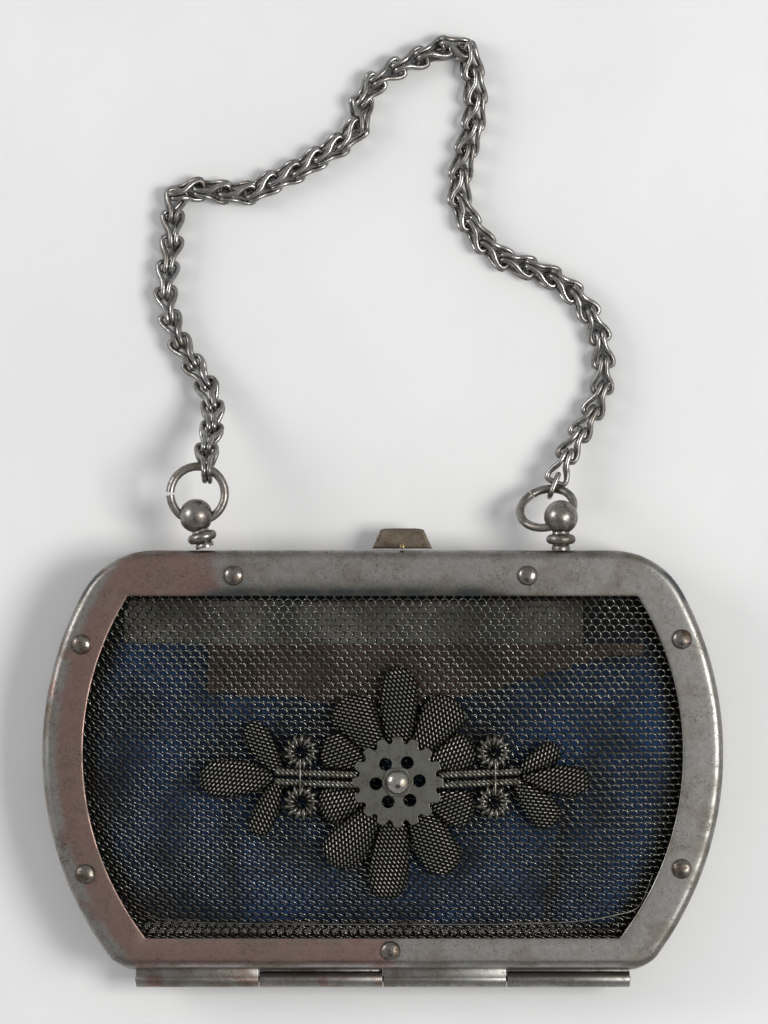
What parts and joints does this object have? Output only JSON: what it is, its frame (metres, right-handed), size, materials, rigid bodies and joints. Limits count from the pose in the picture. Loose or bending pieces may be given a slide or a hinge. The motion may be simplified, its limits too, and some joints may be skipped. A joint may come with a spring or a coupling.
{
  "type": "steel-framed chain purse",
  "caption": "Hinged steel purse frame with wire net panels, a leaf and scroll ornament, finials with split rings and a carrying chain.",
  "frame": {"origin": "middle of the back net's flat crown, on the surface that the purse rests on", "axes": "+Z out of the front face, +X to the wearer's right as the front is seen, +Y from the hinge towards the carrying chain"},
  "size_m": [0.12, 0.1692, 0.0224],
  "materials": {
    "frame_steel": "tarnished satin",
    "hardware_steel": "aged, worn bright on top",
    "chain_steel": "polished, dark in the gaps",
    "net_steel": "fine dark wire",
    "silk": "soft, faded"
  },
  "bodies": {
    "back_half": {"back_frame": "frame_steel", "back_net": "net_steel", "hinge_pin": "hardware_steel"},
    "front_half": {"carrying_chain": "chain_steel", "finial_left": "hardware_steel", "finial_right": "hardware_steel", "front_frame": "frame_steel", "front_net": "net_steel", "front_silk": "silk", "petal_foot": "net_steel", "petal_left_lower": "net_steel", "petal_left_upper": "net_steel", "petal_lower_left": "net_steel", "petal_lower_right": "net_steel", "petal_right_lower": "net_steel", "petal_right_upper": "net_steel", "petal_top": "net_steel", "petal_upper_left": "net_steel", "petal_upper_right": "net_steel", "ring_left": "hardware_steel", "ring_right": "hardware_steel", "rivet_1": "hardware_steel", "rivet_2": "hardware_steel", "rivet_3": "hardware_steel", "rivet_4": "hardware_steel", "rivet_5": "hardware_steel", "rivet_6": "hardware_steel", "rivet_7": "hardware_steel", "rosette_boss": "hardware_steel", "rosette_disc": "hardware_steel", "rosette_washer": "hardware_steel", "scrollwork_left": "hardware_steel", "scrollwork_right": "hardware_steel", "spray_left_down": "net_steel", "spray_left_out": "net_steel", "spray_left_up": "net_steel", "spray_right_down": "net_steel", "spray_right_out": "net_steel", "spray_right_up": "net_steel"},
    "catch": {"press_catch": "hardware_steel"}
  },
  "joints": [
    {"name": "frame_hinge", "type": "hinge", "parent": "back_half", "child": "front_half", "pos_m": [0, -0.0373, 0.00775], "axis": [1, 0, 0], "range_deg": [0, 100]},
    {"name": "catch_press", "type": "hinge", "parent": "back_half", "child": "catch", "pos_m": [0.0034, 0.039, 0.0057], "axis": [-1, 0, 0], "range_deg": [0, 12], "stiffness_Nm_per_rad": 0.02}
  ]
}
